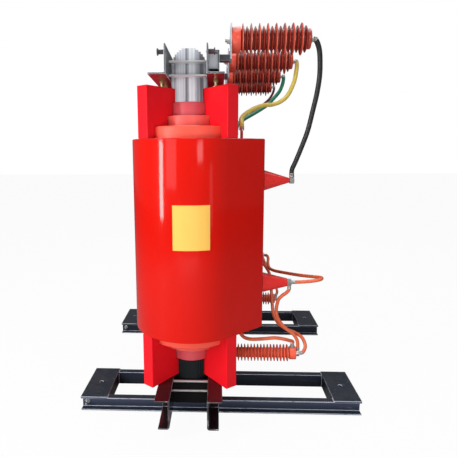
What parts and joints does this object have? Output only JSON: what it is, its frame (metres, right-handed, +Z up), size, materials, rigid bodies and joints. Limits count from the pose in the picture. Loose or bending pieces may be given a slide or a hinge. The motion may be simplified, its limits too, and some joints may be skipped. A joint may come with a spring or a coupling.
{
  "type": "zigzag grounding transformer",
  "caption": "Dry-type zigzag grounding transformer: row of cast-resin coils on a stepped laminated core, clamped between two black base frames, with ribbed post insulators and coloured leads.",
  "frame": {"origin": "on the floor, in the middle of the outline", "axes": "+Z up, +X towards the terminals and insulators, Y along the row of coils"},
  "size_m": [1.65, 2.1, 2.1525],
  "materials": {
    "front_base_frame": "satin black paint",
    "rear_base_frame": "satin black paint",
    "earth_studs": "zinc plated",
    "frame_bolts": "zinc plated",
    "lower_clamp_left": "gloss black paint",
    "lower_clamp_right": "gloss black paint",
    "upper_clamp_left": "satin dark grey paint",
    "upper_clamp_right": "satin dark grey paint",
    "lower_pressboard": "matt board",
    "upper_pressboard": "matt board",
    "lower_yoke": "black varnish over sheet edges",
    "upper_yoke": "laminated sheet edges",
    "front_limb": "laminated sheet edges",
    "middle_limb": "laminated sheet edges",
    "rear_limb": "laminated sheet edges",
    "core_bolts": "zinc plated",
    "lower_tie_rods": "bright steel",
    "upper_tie_bars": "bright steel",
    "tie_bar_bolts": "zinc plated",
    "lifting_pins": "satin dark grey paint",
    "front_lower_blocks": "gloss red resin",
    "middle_lower_blocks": "gloss red resin",
    "rear_lower_blocks": "gloss red resin",
    "front_upper_blocks": "gloss red resin",
    "middle_upper_blocks": "gloss red resin",
    "rear_upper_blocks": "gloss red resin",
    "press_bolts": "yellow zinc",
    "front_limb_tube": "varnished red",
    "middle_limb_tube": "varnished red",
    "rear_limb_tube": "varnished red",
    "front_barrier": "orange red resin",
    "middle_barrier": "orange red resin",
    "rear_barrier": "orange red resin",
    "front_inner_winding": "orange red resin",
    "middle_inner_winding": "orange red resin",
    "rear_inner_winding": "orange red resin",
    "front_coil": "gloss red cast resin",
    "middle_coil": "gloss red cast resin",
    "rear_coil": "gloss red cast resin",
    "cone_nuts": "plain brass",
    "winding_stubs": "red resin over copper",
    "insulator_rail": "satin dark grey paint",
    "insulator_brackets": "pale grey paint",
    "insulator_nuts": "zinc plated",
    "post_front": "brown red epoxy",
    "post_second": "brown red epoxy",
    "post_third": "brown red epoxy",
    "post_rear": "brown red epoxy",
    "low_post_front": "red orange epoxy",
    "low_post_rear": "red orange epoxy",
    "low_post_brackets": "satin black paint",
    "black_lead": "black jacket",
    "yellow_lead": "mustard yellow jacket",
    "green_lead": "teal green jacket",
    "red_lead": "dark red jacket",
    "return_lead": "salmon silicone jacket",
    "front_drop_lead": "salmon silicone jacket",
    "middle_drop_lead": "salmon silicone jacket",
    "rear_drop_lead": "salmon silicone jacket",
    "bottom_lead": "salmon silicone jacket"
  },
  "bodies": {
    "root": {"front_base_frame": "front_base_frame", "rear_base_frame": "rear_base_frame", "earth_studs": "earth_studs", "frame_bolts": "frame_bolts", "lower_clamp_left": "lower_clamp_left", "lower_clamp_right": "lower_clamp_right", "upper_clamp_left": "upper_clamp_left", "upper_clamp_right": "upper_clamp_right", "lower_pressboard": "lower_pressboard", "upper_pressboard": "upper_pressboard", "lower_yoke": "lower_yoke", "upper_yoke": "upper_yoke", "front_limb": "front_limb", "middle_limb": "middle_limb", "rear_limb": "rear_limb", "core_bolts": "core_bolts", "lower_tie_rods": "lower_tie_rods", "upper_tie_bars": "upper_tie_bars", "tie_bar_bolts": "tie_bar_bolts", "lifting_pins": "lifting_pins", "front_lower_blocks": "front_lower_blocks", "middle_lower_blocks": "middle_lower_blocks", "rear_lower_blocks": "rear_lower_blocks", "front_upper_blocks": "front_upper_blocks", "middle_upper_blocks": "middle_upper_blocks", "rear_upper_blocks": "rear_upper_blocks", "press_bolts": "press_bolts", "front_limb_tube": "front_limb_tube", "middle_limb_tube": "middle_limb_tube", "rear_limb_tube": "rear_limb_tube", "front_barrier": "front_barrier", "middle_barrier": "middle_barrier", "rear_barrier": "rear_barrier", "front_inner_winding": "front_inner_winding", "middle_inner_winding": "middle_inner_winding", "rear_inner_winding": "rear_inner_winding", "front_coil": "front_coil", "middle_coil": "middle_coil", "rear_coil": "rear_coil", "cone_nuts": "cone_nuts", "winding_stubs": "winding_stubs", "insulator_rail": "insulator_rail", "insulator_brackets": "insulator_brackets", "insulator_nuts": "insulator_nuts", "post_front": "post_front", "post_second": "post_second", "post_third": "post_third", "post_rear": "post_rear", "low_post_front": "low_post_front", "low_post_rear": "low_post_rear", "low_post_brackets": "low_post_brackets", "black_lead": "black_lead", "yellow_lead": "yellow_lead", "green_lead": "green_lead", "red_lead": "red_lead", "return_lead": "return_lead", "front_drop_lead": "front_drop_lead", "middle_drop_lead": "middle_drop_lead", "rear_drop_lead": "rear_drop_lead", "bottom_lead": "bottom_lead"}
  },
  "joints": []
}
